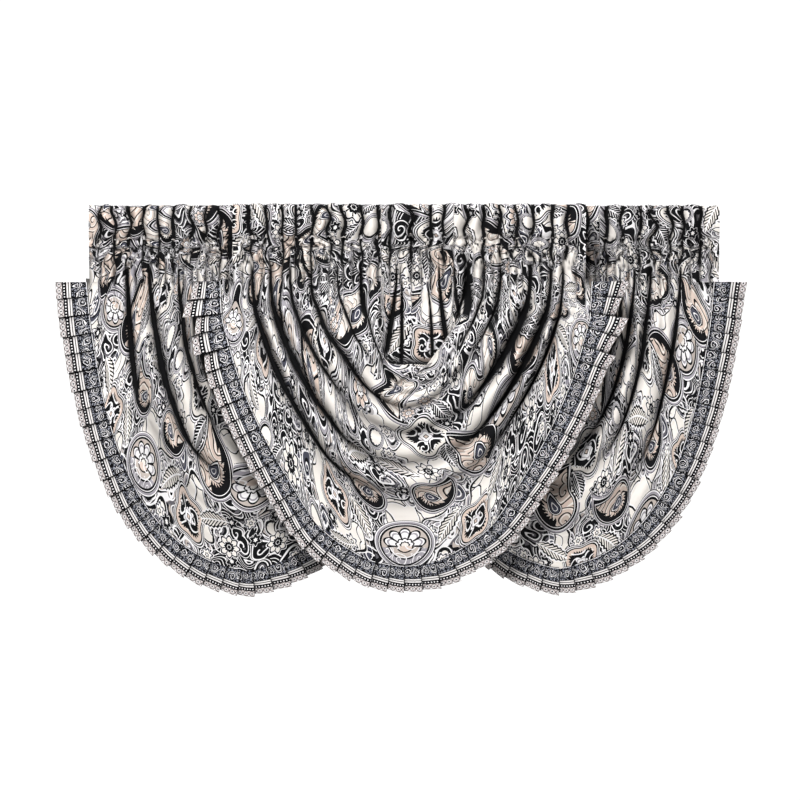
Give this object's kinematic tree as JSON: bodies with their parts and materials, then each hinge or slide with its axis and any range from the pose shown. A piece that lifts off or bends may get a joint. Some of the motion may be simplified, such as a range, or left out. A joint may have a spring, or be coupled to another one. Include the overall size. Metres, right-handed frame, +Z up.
{
  "type": "waterfall valance",
  "caption": "Window valance of waterfall swags hung side by side, the middle one in front, each with a gathered rod-pocket heading and a knife-pleated border along its curved hem.",
  "frame": {"origin": "the middle of the top edge, on the line of the back curtain rod, where the side valances' headings pass over it", "axes": "+X to the right as the room sees it, -Y towards the room, +Z up"},
  "size_m": [1.526, 0.1554, 0.862],
  "materials": {
    "jacquard": "ivory satin ground with grey, blue-grey, blush and charcoal woven paisley and leaf figures",
    "border_strip": "blue-grey strip with charcoal scrolls, a dotted charcoal line and a pale scalloped edge, knife pleated"
  },
  "bodies": {
    "root": {"heading_left": "jacquard", "heading_middle": "jacquard", "heading_right": "jacquard", "swag_left": "jacquard", "swag_middle": "jacquard", "swag_right": "jacquard", "border_left": "border_strip", "border_middle": "border_strip", "border_right": "border_strip"}
  },
  "joints": []
}
